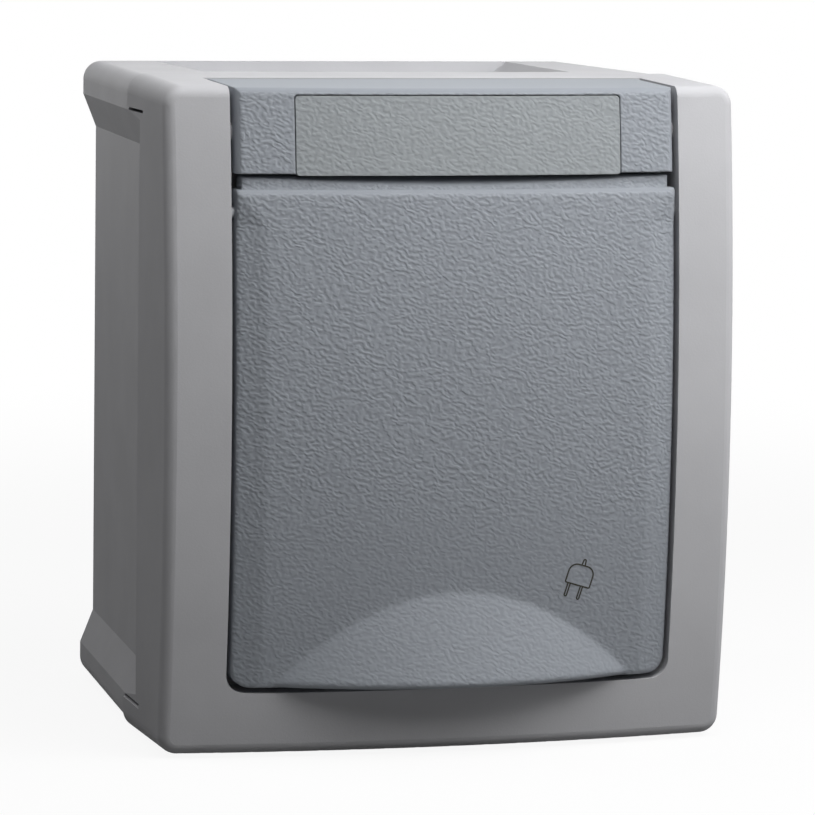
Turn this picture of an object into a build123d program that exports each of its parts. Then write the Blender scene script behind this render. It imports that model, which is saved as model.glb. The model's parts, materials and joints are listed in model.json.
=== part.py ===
# Surface-mounted outdoor socket outlet with a sprung, hinged lid.
#
# All sizes are millimetres. The wall is the plane y = 0, the front faces -Y and +Z is up.
# The origin is the middle of the back face. A depth is a distance from the wall,
# so a point at depth d has y = -d, and Plane.XZ.offset(d) is the plane at that depth.
import os

from build123d import *

# Frame: outline, front curved both ways and rear seam
frame_width = 67.0
frame_height = 76.4
front_narrowing = 0.6
corner_radius = 2.2
front_depth = 59.4
front_radius = 270.0
side_radius = 200.0
seam_setback = 24.4
frame_wall = 1.8
front_wall = 2.0
front_edge_radius = 1.4

# Opening for the lid
opening_width = 52.6
bottom_bar = 7.0
opening_radius = 2.2
opening_edge_radius = 0.4
recess_depth = 9.5
recess_floor_wall = 2.0
recess_side_wall = 2.0

# Stepped rear edge of the frame on both sides
side_band = 11.0
notch_margin = 3.8
notch_gap = 0.4
seam_gap = 0.15

# Base housing
seam_step = 0.2
side_draft = 2.0
base_wall = 2.0
back_wall = 2.4
spigot_gap = 0.3
spigot_wall = 1.5
spigot_end_gap = 1.0
side_pocket_depth = 1.6
side_pocket_margin = 8.2
side_pocket_slope = 4.0
side_pocket_lip = 2.4
top_pocket_depth = 1.6
top_pocket_width = 41.0
top_pocket_slope = 2.0
top_pocket_lip = 8.0
top_pocket_rim = 0.8
wall_screw_margin = 10.2
wall_screw_radius = 2.25
seal_outer_radius = 4.2
seal_thickness = 1.2
knockout_radius = 9.0
knockout_z = 12.5
knockout_groove = 1.0

# Hinge
hinge_setback = 4.7
hinge_drop = 13.9
barrel_radius = 1.9
roll_radius = 4.1
roll_height = 1.2
roll_back = 1.5
roll_inset = 0.6
pin_radius = 0.75
pin_clearance = 0.06
pin_engagement = 1.6
barrel_end_gap = 0.7

# Lid
lid_side_gap = 0.6
lid_bottom_gap = 0.7
lid_drop = 11.3
lid_proud = 0.2
lid_skin = 2.2
lid_wall = 1.8
lid_back_gap = 1.8
lid_corner_radius = 2.0
lid_edge_radius = 0.7
bevel_width = 3.2
bevel_depth = 0.6
bevel_runout = 4.0
lip_width = 43.0
lip_height = 10.6
lip_reach = 4.0
lip_edge_radius = 0.5

# Hinge cover and label plate
cover_drop = 9.5
cover_wall = 2.0
cover_flange_length = 8.0
cover_flange_drop = 0.6
cover_flange_gap = 0.1
cover_top_gap = 0.1
cover_back_gap = 0.2
cover_edge_radius = 0.9
peg_radius = 1.0
peg_length = 1.5
peg_clearance = 0.15
peg_drop = 5.0
peg_setback = 6.4
label_width = 38.0
label_top_gap = 0.85
label_overhang = 0.2
label_thickness = 1.0
label_gap = 0.12
label_radius = 0.4

# Torsion spring
spring_wire = 0.6
spring_radius = 1.2
spring_turns = 6
spring_pitch = 0.56
spring_pocket_radius = 1.65
spring_pocket_length = 5.6
spring_leg = 2.3
spring_leg_gap = 0.1

# Socket insert
socket_offset = -1.0
well_radius = 19.7
well_depth = 17.5
well_wall = 2.3
well_floor = 3.0
flange_radius = 23.4
flange_thickness = 1.6
rim_height = 0.5
rim_wall = 1.9
aperture_gap = 0.4
insert_gasket_thickness = 0.8
pin_pitch = 19.0
pin_hole_radius = 2.7
key_rib_width = 4.7
key_rib_height = 2.4
lid_gasket_gap = 0.3
lid_gasket_thickness = 2.2
lid_gasket_margin = 0.3

# Contacts, carrier and screws
strap_width = 8.0
strap_thickness = 1.0
strap_gap = 0.3
clip_reach = 2.6
slot_bridge = 1.2
carrier_width = 36.0
carrier_height = 45.0
carrier_depth = 19.0
ear_span = 53.0
ear_width = 9.0
ear_thickness = 3.0
post_radius = 3.6
carrier_screw_pitch = 46.0
carrier_screw_radius = 1.4
carrier_screw_head_radius = 2.8
carrier_screw_head = 2.0
carrier_screw_length = 12.0
insert_screw_radius = 1.6
insert_screw_head_radius = 3.0
insert_screw_head = 2.2
insert_screw_length = 14.0
screw_gap = 0.1
screw_slot_width = 0.9
screw_slot_depth = 0.8
contact_sheet = 0.8
contact_width = 7.0
contact_opening = 4.9
contact_length = 14.0
chamber_gap = 0.4
terminal_offset = 14.0
terminal_width = 8.0
clamp_thickness = 1.6
terminal_screw_radius = 1.5
terminal_screw_head_radius = 2.6
terminal_screw_head = 1.8
terminal_screw_length = 7.0

# Cable grommet
inlet_radius = 8.0
inlet_setback = 20.0
grommet_flange = 1.8
grommet_flange_thickness = 1.2
grommet_wall = 1.5
membrane_thickness = 0.8
grommet_seat = 0.6
grommet_length = 4.0

# Values that follow from those above
half_width = frame_width / 2
half_height = frame_height / 2
front_half_height = half_height - front_narrowing
front_centre = front_radius - front_depth
side_centre = side_radius - front_depth
side_sag = side_radius - (side_radius ** 2 - half_width ** 2) ** 0.5
seam_depth = front_depth - seam_setback
notch_depth = front_depth - side_sag - side_band
wall_screw_pitch = frame_height - 2 * wall_screw_margin
opening_bottom = bottom_bar - front_half_height
hinge_depth = front_depth - hinge_setback
hinge_z = front_half_height - hinge_drop
lid_top = front_half_height - lid_drop
cover_bottom = front_half_height - cover_drop
label_top = front_half_height - label_top_gap
label_bottom = cover_bottom - label_overhang
peg_depth = front_depth - peg_setback
peg_z = front_half_height - peg_drop
socket_z = (opening_bottom + lid_top) / 2 + socket_offset
inlet_depth = seam_depth - inlet_setback
recess_floor = front_depth - recess_depth
recess_back = recess_floor - recess_floor_wall
notch_radius = front_radius - side_sag - side_band
notch_height = frame_height - 2 * notch_margin
side_pocket_height = frame_height - 2 * side_pocket_margin
cover_top = front_half_height - cover_top_gap
cover_flange_z = front_half_height - cover_flange_drop
cover_flange_depth = recess_floor - cover_flange_length
base_half_width = half_width - seam_step
base_half_height = half_height - seam_step
base_back_half_width = base_half_width - side_draft
spigot_half_width = half_width - frame_wall - spigot_gap
spigot_half_height = front_half_height - frame_wall - spigot_gap
spigot_depth = recess_back - spigot_end_gap
cavity_front_half_width = spigot_half_width - spigot_wall
cavity_front_half_height = spigot_half_height - spigot_wall
cavity_back_half_width = base_back_half_width - side_pocket_depth - base_wall
cavity_back_half_height = base_half_height - top_pocket_depth - base_wall
lid_half_width = opening_width / 2 - lid_side_gap
lid_bottom = opening_bottom + lid_bottom_gap
lid_back = recess_floor + lid_back_gap
barrel_half = lid_half_width - barrel_end_gap
flange_back = recess_floor + insert_gasket_thickness
flange_front = flange_back + flange_thickness
rim_front = flange_front + rim_height
well_bottom = rim_front - well_depth
insert_back = well_bottom - well_floor
cup_radius = well_radius + well_wall
aperture_radius = cup_radius + aperture_gap
rim_radius = well_radius + rim_wall
spring_clear_z = hinge_z - spring_radius - spring_wire / 2 - aperture_gap
gasket_back = rim_front + lid_gasket_gap
gasket_front = gasket_back + lid_gasket_thickness
carrier_back = insert_back - carrier_depth
ear_front = insert_back - 3.0
ear_back = ear_front - ear_thickness
clip_plane = well_radius + well_wall / 2
chamber_width = contact_width + 2 * chamber_gap
contact_back = insert_back - contact_length
terminal_floor = insert_back - 10.0
inlet_z = base_half_height - top_pocket_depth


def front_y(x, z, drop):
    # y of the curved front at x, z, or of the surface a given distance below it
    reach = front_radius - side_radius + ((side_radius - drop) ** 2 - x ** 2) ** 0.5
    return front_centre - (reach ** 2 - z ** 2) ** 0.5


def pillow(drop):
    # Everything behind the front surface, or behind the surface a given distance below it
    with BuildPart() as body:
        with BuildSketch(Plane.XY):
            with BuildLine():
                edge_x = 1.2 * half_width
                edge_y = front_y(edge_x, 0, drop)
                ThreePointArc((-edge_x, edge_y), (0, front_y(0, 0, drop)), (edge_x, edge_y))
                Polyline(
                    (edge_x, edge_y),
                    (edge_x, front_depth),
                    (-edge_x, front_depth),
                    (-edge_x, edge_y),
                )
            make_face()
        revolve(axis=Axis((0, front_centre, 0), (1, 0, 0)))
    return body.part


def spring_room():
    # Space for the coil and for the leg of the spring that rests on the frame
    with BuildPart() as room:
        with BuildSketch(Plane.XZ.offset(recess_floor)):
            with Locations((0, spring_clear_z)):
                Rectangle(spring_pocket_length, hinge_z - spring_clear_z, align=(Align.CENTER, Align.MIN))
        extrude(amount=front_depth - recess_floor)
    return room.part


def frame_body(inset, corner, drop):
    # Outer form of the frame, made smaller all round, with the front surface lowered
    with BuildPart() as body:
        with BuildSketch(Plane.XZ.offset(seam_depth)):
            RectangleRounded(2 * (half_width - inset), 2 * (half_height - inset), corner)
        with BuildSketch(Plane.XZ.offset(front_depth)):
            RectangleRounded(2 * (half_width - inset), 2 * (front_half_height - inset), corner)
        loft()
        add(pillow(drop), mode=Mode.INTERSECT)
    return body.part


# Base housing: drafted box with a spigot that enters the frame
with BuildPart() as base:
    with BuildSketch(Plane.XZ):
        RectangleRounded(2 * base_back_half_width, 2 * base_half_height, corner_radius)
    with BuildSketch(Plane.XZ.offset(seam_depth)):
        RectangleRounded(2 * base_half_width, 2 * base_half_height, corner_radius)
    loft()
    with BuildSketch(Plane.XZ.offset(seam_depth - 1)):
        RectangleRounded(2 * spigot_half_width, 2 * spigot_half_height, corner_radius)
    extrude(amount=spigot_depth - seam_depth + 1)
    # Side tongues that fill the stepped rear edge of the frame
    with BuildPart(mode=Mode.PRIVATE) as tongues:
        with BuildSketch(Plane.YZ):
            with Locations((-seam_depth + 1, 0)):
                Rectangle(front_depth, notch_height - 2 * notch_gap, align=(Align.MAX, Align.CENTER))
        extrude(amount=base_half_width, both=True)
        with BuildSketch(Plane.YZ):
            with Locations((front_centre, 0)):
                Circle(notch_radius - seam_gap)
        extrude(amount=frame_width, both=True, mode=Mode.INTERSECT)
        with BuildSketch(Plane.XZ):
            Rectangle(2 * spigot_half_width - 0.4, 2 * frame_height)
        extrude(amount=2 * front_depth, mode=Mode.SUBTRACT)
    add(tongues.part)
    # Room inside
    with BuildPart(mode=Mode.PRIVATE) as room:
        with BuildSketch(Plane.XZ.offset(back_wall)):
            RectangleRounded(2 * cavity_back_half_width, 2 * cavity_back_half_height, corner_radius)
        with BuildSketch(Plane.XZ.offset(spigot_depth)):
            RectangleRounded(2 * cavity_front_half_width, 2 * cavity_front_half_height, corner_radius)
        loft()
    add(room.part, mode=Mode.SUBTRACT)
    # Shallow pockets in both sides
    with BuildSketch(Plane.XZ, mode=Mode.PRIVATE) as side_pocket:
        floor_x = base_back_half_width - side_pocket_depth
        floor_z = side_pocket_height / 2
        rise = side_pocket_slope / side_pocket_depth
        with BuildLine():
            Polyline(
                (floor_x, -floor_z),
                (floor_x + 4, -floor_z - 4 * rise),
                (floor_x + 4, floor_z + 4 * rise),
                (floor_x, floor_z),
                close=True,
            )
        make_face()
        mirror(about=Plane.YZ)
    notch_rise = (notch_height / 2) ** 2 / (2 * notch_radius)
    side_pocket_length = notch_depth - notch_rise - side_pocket_lip
    side_faces = side_pocket.sketch.faces().sort_by(Axis.X)
    for side, face in ((-1, side_faces[0]), (1, side_faces[-1])):
        extrude(face, amount=side_pocket_length, dir=(side * side_draft, -seam_depth, 0), mode=Mode.SUBTRACT)
    # Shallow pockets in the top and the bottom
    with BuildSketch(Plane.XZ.offset(top_pocket_rim), mode=Mode.PRIVATE) as top_pocket:
        floor_top = base_half_height - top_pocket_depth
        floor_half = top_pocket_width / 2
        spread = top_pocket_slope / top_pocket_depth
        with BuildLine():
            Polyline(
                (-floor_half, floor_top),
                (-floor_half - 3 * spread, floor_top + 3),
                (floor_half + 3 * spread, floor_top + 3),
                (floor_half, floor_top),
                close=True,
            )
        make_face()
        mirror(about=Plane.XZ)
    for face in top_pocket.sketch.faces():
        extrude(face, amount=seam_depth - top_pocket_lip - top_pocket_rim, dir=(0, -1, 0), mode=Mode.SUBTRACT)
    # Posts for the contact carrier
    with BuildSketch(Plane.XZ.offset(back_wall - 1)):
        with Locations((-carrier_screw_pitch / 2, socket_z), (carrier_screw_pitch / 2, socket_z)):
            Circle(post_radius)
    extrude(amount=ear_back - back_wall + 1)
    with BuildSketch(Plane.XZ.offset(ear_back)):
        with Locations((-carrier_screw_pitch / 2, socket_z), (carrier_screw_pitch / 2, socket_z)):
            Circle(carrier_screw_radius)
    extrude(amount=-carrier_screw_length, mode=Mode.SUBTRACT)
    # Wall screw holes with a seat for their seals
    with BuildSketch(Plane.XZ):
        with GridLocations(0, wall_screw_pitch, 1, 2):
            Circle(wall_screw_radius)
    extrude(amount=back_wall, mode=Mode.SUBTRACT)
    with BuildSketch(Plane.XZ.offset(back_wall)):
        with GridLocations(0, wall_screw_pitch, 1, 2):
            Circle(seal_outer_radius + 1.2)
            Circle(seal_outer_radius, mode=Mode.SUBTRACT)
    extrude(amount=seal_thickness)
    # Knock-out for a cable from the wall
    with BuildSketch(Plane.XZ):
        with Locations((0, knockout_z)):
            Circle(knockout_radius)
            Circle(knockout_radius - knockout_groove, mode=Mode.SUBTRACT)
    extrude(amount=back_wall - 0.9, mode=Mode.SUBTRACT)
    # Cable inlet in the bottom
    with BuildSketch(Plane.XY.offset(-half_height - 1)):
        with Locations((0, -inlet_depth)):
            Circle(inlet_radius)
    extrude(amount=half_height + 1 - cavity_back_half_height + 3, mode=Mode.SUBTRACT)
    with BuildSketch(Plane.XY.offset(-inlet_z + grommet_seat)):
        with Locations((0, -inlet_depth)):
            Circle(inlet_radius + grommet_flange + aperture_gap)
    extrude(amount=-grommet_seat - top_pocket_depth - 1, mode=Mode.SUBTRACT)

# Front frame: curved front, skirt, recess for the lid and its floor
with BuildPart() as frame:
    add(frame_body(0, corner_radius, 0))
    front_face = frame.faces().sort_by(Axis.Y)[0]
    fillet(front_face.edges(), front_edge_radius)
    with BuildPart(mode=Mode.PRIVATE) as hollow:
        add(frame_body(frame_wall, corner_radius / 2, front_wall))
        with BuildSketch(Plane.XZ.offset(recess_back)):
            tub_bottom = opening_bottom - recess_side_wall
            with Locations((0, (tub_bottom + frame_height) / 2)):
                Rectangle(opening_width + 2 * recess_side_wall, frame_height - tub_bottom)
        extrude(amount=front_depth, mode=Mode.SUBTRACT)
    add(hollow.part, mode=Mode.SUBTRACT)
    with BuildSketch(Plane.XZ.offset(recess_floor)) as recess:
        with Locations((0, (opening_bottom + frame_height) / 2)):
            Rectangle(opening_width, frame_height - opening_bottom)
        fillet(recess.vertices().group_by(Axis.Y)[0], opening_radius)
    extrude(amount=front_depth, mode=Mode.SUBTRACT)
    # Step in the top for the flange of the hinge cover
    with BuildSketch(Plane.XZ.offset(cover_flange_depth - cover_back_gap)):
        with Locations((0, cover_flange_z - cover_flange_gap)):
            Rectangle(opening_width, frame_height, align=(Align.CENTER, Align.MIN))
    extrude(amount=front_depth, mode=Mode.SUBTRACT)
    # Aperture for the socket insert
    with BuildSketch(Plane.XZ.offset(recess_back)):
        with Locations((0, socket_z)):
            Circle(aperture_radius)
    extrude(amount=recess_floor_wall, mode=Mode.SUBTRACT)
    # Stepped rear edge on both sides
    with BuildPart(mode=Mode.PRIVATE) as step_cut:
        with BuildSketch(Plane.YZ):
            with Locations((-seam_depth, 0)):
                Rectangle(2 * front_depth, notch_height)
        extrude(amount=frame_width, both=True)
        with BuildSketch(Plane.YZ):
            with Locations((front_centre, 0)):
                Circle(notch_radius)
        extrude(amount=frame_width, both=True, mode=Mode.INTERSECT)
        with BuildSketch(Plane.XZ):
            Rectangle(2 * (half_width - frame_wall - 0.1), 2 * frame_height)
        extrude(amount=2 * front_depth, mode=Mode.SUBTRACT)
    add(step_cut.part, mode=Mode.SUBTRACT)
    # Holes for the ends of the hinge pin and pegs for the hinge cover
    with BuildSketch(Plane.YZ):
        with Locations((-hinge_depth, hinge_z)):
            Circle(pin_radius)
    extrude(amount=opening_width / 2 + pin_engagement, both=True, mode=Mode.SUBTRACT)
    for side in (-1, 1):
        with BuildSketch(Plane.YZ.offset(side * (opening_width / 2 + 0.5))):
            with Locations((-peg_depth, peg_z)):
                Circle(peg_radius)
        extrude(amount=-side * (peg_length + 0.5))

# Hinge cover: strip over the top of the opening
with BuildPart() as cover:
    add(frame_body(cover_top_gap, corner_radius, 0))
    with BuildSketch(Plane.YZ):
        with BuildLine():
            Polyline(
                (-cover_flange_depth, cover_flange_z),
                (-cover_flange_depth, frame_height),
                (-2 * front_depth, frame_height),
                (-2 * front_depth, cover_bottom),
                (-recess_floor - cover_back_gap, cover_bottom),
                (-recess_floor - cover_back_gap, cover_flange_z),
                close=True,
            )
        make_face()
    extrude(amount=lid_half_width, both=True, mode=Mode.INTERSECT)
    fillet(cover.faces().sort_by(Axis.Y)[0].edges().sort_by(Axis.Z)[1:], cover_edge_radius)
    with BuildPart(mode=Mode.PRIVATE) as cover_room:
        with BuildSketch(Plane.XZ.offset(recess_floor)):
            with Locations((0, cover_top - cover_wall)):
                Rectangle(2 * (lid_half_width - lid_wall), frame_height, align=(Align.CENTER, Align.MAX))
        extrude(amount=front_depth - recess_floor)
        add(pillow(cover_wall), mode=Mode.INTERSECT)
    add(cover_room.part, mode=Mode.SUBTRACT)
    # Seat for the label plate, open at the bottom
    with BuildPart(mode=Mode.PRIVATE) as label_seat:
        with BuildSketch(Plane.XZ.offset(recess_floor)) as seat_outline:
            seat_top = label_top + label_gap
            with Locations((0, (seat_top + cover_bottom - 5) / 2)):
                Rectangle(label_width + 2 * label_gap, seat_top - cover_bottom + 5)
            fillet(seat_outline.vertices().group_by(Axis.Y)[-1], label_radius)
        extrude(amount=front_depth)
        add(pillow(label_thickness), mode=Mode.SUBTRACT)
    add(label_seat.part, mode=Mode.SUBTRACT)
    with BuildSketch(Plane.YZ):
        with Locations((-peg_depth, peg_z)):
            Circle(peg_radius + peg_clearance)
    extrude(amount=half_width, both=True, mode=Mode.SUBTRACT)

# Label plate in the strip
with BuildPart() as label:
    with BuildSketch(Plane.XZ.offset(recess_floor)) as label_outline:
        with Locations((0, (label_top + label_bottom) / 2)):
            Rectangle(label_width, label_top - label_bottom)
        fillet(label_outline.vertices(), label_radius)
    extrude(amount=front_depth)
    add(pillow(0), mode=Mode.INTERSECT)
    add(pillow(label_thickness), mode=Mode.SUBTRACT)

# Lid: curved panel with side bevels, thumb lip, hinge barrel and a ring for its gasket
with BuildPart() as lid:
    with BuildSketch(Plane.XZ.offset(lid_back)) as lid_outline:
        with Locations((0, (lid_top + lid_bottom) / 2)):
            Rectangle(2 * lid_half_width, lid_top - lid_bottom)
        fillet(lid_outline.vertices().group_by(Axis.Y)[0], lid_corner_radius)
    extrude(amount=front_depth - lid_back + 1)
    add(pillow(-lid_proud), mode=Mode.INTERSECT)
    fillet(lid.faces().sort_by(Axis.Y)[0].edges().sort_by(Axis.Z)[-1], lid_edge_radius)
    # Side bevels that follow the curve of the front and run out to the upper corners
    bevel_top = lid_top - bevel_runout
    inner_x = lid_half_width - bevel_width
    outer_x = lid_half_width + bevel_width
    inner_y = front_y(inner_x, 0, -lid_proud)
    edge_y = front_y(lid_half_width, 0, -lid_proud) + bevel_depth
    for side in (-1, 1):
        corner = Vector(side * lid_half_width, front_y(lid_half_width, lid_top, -lid_proud), lid_top)
        inner = Vector(side * inner_x, front_y(inner_x, bevel_top, -lid_proud), bevel_top)
        outer_y = front_y(lid_half_width, bevel_top, -lid_proud) + bevel_depth
        outer = Vector(side * lid_half_width, outer_y, bevel_top)
        normal = (inner - outer).cross(corner - outer) * side
        with BuildPart(mode=Mode.PRIVATE) as bevel:
            with BuildSketch(Plane.XY):
                with BuildLine():
                    Polyline(
                        (side * inner_x, inner_y),
                        (side * outer_x, 2 * edge_y - inner_y),
                        (side * outer_x, inner_y - 1),
                        (side * inner_x, inner_y - 1),
                        close=True,
                    )
                make_face()
            revolve(axis=Axis((0, front_centre, 0), (1, 0, 0)))
            with BuildSketch(Plane(origin=outer, x_dir=inner - outer, z_dir=normal)):
                Rectangle(4 * frame_height, 4 * frame_height)
            extrude(amount=frame_height * (1 if normal.Y < 0 else -1), mode=Mode.INTERSECT)
        add(bevel.part, mode=Mode.SUBTRACT)
    # Thumb lip
    lip_half = lip_width / 2
    lip_y = front_y(lip_half, lid_bottom, -lid_proud)
    lip_front = front_y(0, lid_bottom, -lid_proud) - lip_reach
    lip_slope = Vector(0, front_y(0, lid_bottom + lip_height, -lid_proud) - lip_front, lip_height)
    with BuildPart(mode=Mode.PRIVATE) as lip:
        with BuildSketch(Plane.XY.offset(lid_bottom)):
            with BuildLine():
                ThreePointArc((-lip_half, lip_y), (0, lip_front), (lip_half, lip_y))
                Polyline(
                    (lip_half, lip_y),
                    (lip_half, lip_y + lid_skin / 2),
                    (-lip_half, lip_y + lid_skin / 2),
                    (-lip_half, lip_y),
                )
            make_face()
        extrude(amount=lip_slope.length + lid_skin, dir=lip_slope)
        fillet(lip.edges().sort_by(Axis.Y)[0], lip_edge_radius)
    add(lip.part)
    # Hollow back
    with BuildPart(mode=Mode.PRIVATE) as lid_room:
        with BuildSketch(Plane.XZ.offset(lid_back)) as lid_room_outline:
            with Locations((0, (lid_top + lid_bottom) / 2)):
                Rectangle(2 * (lid_half_width - lid_wall), lid_top - lid_bottom - 2 * lid_wall)
            fillet(lid_room_outline.vertices(), lid_corner_radius / 2)
        extrude(amount=front_depth - lid_back)
        add(pillow(lid_skin - lid_proud), mode=Mode.INTERSECT)
    add(lid_room.part, mode=Mode.SUBTRACT)
    # Ring that carries the gasket
    with BuildSketch(Plane.XZ.offset(gasket_front)):
        with Locations((0, socket_z)):
            Circle(rim_radius + lid_gasket_margin)
            Circle(well_radius - lid_gasket_margin, mode=Mode.SUBTRACT)
    extrude(amount=front_depth + lid_proud - lid_skin + 0.3 - gasket_front)
    # Rolled upper edge, round the hinge, that shows in the groove under the cover
    with BuildPart(mode=Mode.PRIVATE) as roll:
        with BuildSketch(Plane.YZ):
            with Locations((-hinge_depth, hinge_z)):
                Circle(roll_radius)
            with Locations((roll_back - hinge_depth, hinge_z + roll_height)):
                Rectangle(3 * roll_radius, roll_radius, align=(Align.MAX, Align.MIN), mode=Mode.INTERSECT)
        extrude(amount=barrel_half, both=True)
        add(pillow(roll_inset), mode=Mode.INTERSECT)
    add(roll.part)
    # Hinge barrel with a pocket for the spring
    with BuildSketch(Plane.YZ):
        with Locations((-hinge_depth, hinge_z)):
            Circle(barrel_radius)
    extrude(amount=barrel_half, both=True)
    with BuildSketch(Plane.YZ):
        with Locations((-hinge_depth, hinge_z)):
            Circle(pin_radius + pin_clearance)
    extrude(amount=frame_width, both=True, mode=Mode.SUBTRACT)
    with BuildSketch(Plane.YZ):
        with Locations((-hinge_depth, hinge_z)):
            Circle(spring_pocket_radius)
            rear_room = roll_radius + aperture_gap
            Rectangle(rear_room, 2 * rear_room, align=(Align.MIN, Align.CENTER))
            Rectangle(spring_pocket_radius, spring_leg + spring_leg_gap, align=(Align.MAX, Align.MIN))
    extrude(amount=spring_pocket_length / 2, both=True, mode=Mode.SUBTRACT)
    # Room round the gasket and the flange of the insert
    with BuildSketch(Plane.XZ.offset(lid_back)):
        with Locations((0, socket_z)):
            Circle(flange_radius + aperture_gap)
    extrude(amount=gasket_back - lid_back, mode=Mode.SUBTRACT)
    with BuildSketch(Plane.XZ.offset(gasket_back)):
        with Locations((0, socket_z)):
            Circle(rim_radius + lid_gasket_margin + aperture_gap)
    extrude(amount=lid_gasket_thickness, mode=Mode.SUBTRACT)

# Rubber ring under the lid
with BuildPart() as lid_gasket:
    with BuildSketch(Plane.XZ.offset(gasket_back)):
        with Locations((0, socket_z)):
            Circle(rim_radius + lid_gasket_margin)
            Circle(well_radius - lid_gasket_margin, mode=Mode.SUBTRACT)
    extrude(amount=lid_gasket_thickness)
    add(spring_room(), mode=Mode.SUBTRACT)

# Hinge pin
with BuildPart() as hinge_pin:
    with BuildSketch(Plane.YZ):
        with Locations((-hinge_depth, hinge_z)):
            Circle(pin_radius)
    extrude(amount=opening_width / 2 + pin_engagement, both=True)

# Torsion spring: coil round the pin, one leg on the frame and one on the lid
with BuildPart() as spring:
    coil_half = (spring_turns - 1) * spring_pitch / 2
    with BuildSketch(Plane.XY.offset(hinge_z)):
        for turn in range(spring_turns):
            with Locations((turn * spring_pitch - coil_half, spring_radius - hinge_depth)):
                Circle(spring_wire / 2)
    revolve(axis=Axis((0, -hinge_depth, hinge_z), (1, 0, 0)))
    with BuildSketch(Plane.XZ.offset(recess_floor)):
        with Locations((-coil_half, hinge_z - spring_radius)):
            Circle(spring_wire / 2)
    extrude(amount=hinge_depth - recess_floor + spring_wire / 2)
    with BuildSketch(Plane.XY.offset(hinge_z)):
        with Locations((coil_half, -hinge_depth - spring_radius)):
            Circle(spring_wire / 2)
    extrude(amount=spring_leg)

# Socket insert: well for the plug with pin holes, key ribs and slots for the earth clips
with BuildPart() as insert:
    with BuildSketch(Plane.XZ.offset(insert_back)):
        with Locations((0, socket_z)):
            Circle(cup_radius)
    extrude(amount=flange_back - insert_back)
    with BuildSketch(Plane.XZ.offset(flange_back)):
        with Locations((0, socket_z)):
            Circle(flange_radius)
    extrude(amount=flange_thickness)
    with BuildSketch(Plane.XZ.offset(flange_front)):
        with Locations((0, socket_z)):
            Circle(rim_radius)
    extrude(amount=rim_height)
    add(spring_room(), mode=Mode.SUBTRACT)
    with BuildSketch(Plane.XZ.offset(well_bottom)):
        with Locations((0, socket_z)):
            Circle(well_radius)
            Rectangle(2 * (well_radius - key_rib_height), key_rib_width, mode=Mode.INTERSECT)
            with BuildSketch(mode=Mode.ADD):
                with Locations((0, socket_z)):
                    Circle(well_radius)
                    Rectangle(3 * well_radius, key_rib_width, mode=Mode.SUBTRACT)
    extrude(amount=well_depth, mode=Mode.SUBTRACT)
    with BuildSketch(Plane.XZ.offset(insert_back)):
        with Locations((-pin_pitch / 2, socket_z), (pin_pitch / 2, socket_z)):
            Circle(pin_hole_radius)
        with Locations((0, socket_z)):
            Circle(insert_screw_radius + screw_gap)
    extrude(amount=well_floor, mode=Mode.SUBTRACT)
    slot_width = strap_width + 2 * strap_gap
    with BuildSketch(Plane.XZ.offset(insert_back)):
        for side in (-1, 1):
            with Locations((0, socket_z + side * (well_radius + well_wall / 2))):
                Rectangle(slot_width, well_wall + 2)
    extrude(amount=flange_back - slot_bridge - insert_back, mode=Mode.SUBTRACT)

# Rubber ring under the flange of the insert
with BuildPart() as insert_gasket:
    with BuildSketch(Plane.XZ.offset(recess_floor)):
        with Locations((0, socket_z)):
            Circle(flange_radius)
            Circle(cup_radius + aperture_gap / 2, mode=Mode.SUBTRACT)
    extrude(amount=insert_gasket_thickness)
    add(spring_room(), mode=Mode.SUBTRACT)

# Screw in the middle of the well
with BuildPart() as insert_screw:
    with BuildSketch(Plane.XZ.offset(well_bottom)):
        with Locations((0, socket_z)):
            Circle(insert_screw_head_radius)
    extrude(amount=insert_screw_head)
    fillet(insert_screw.faces().sort_by(Axis.Y)[0].edges(), insert_screw_head / 4)
    with BuildSketch(Plane.XZ.offset(well_bottom)):
        with Locations((0, socket_z)):
            Circle(insert_screw_radius)
    extrude(amount=-insert_screw_length)
    with BuildSketch(Plane.XZ.offset(well_bottom + insert_screw_head)):
        with Locations((0, socket_z)):
            Rectangle(3 * insert_screw_head_radius, screw_slot_width)
    extrude(amount=-screw_slot_depth, mode=Mode.SUBTRACT)

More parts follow.
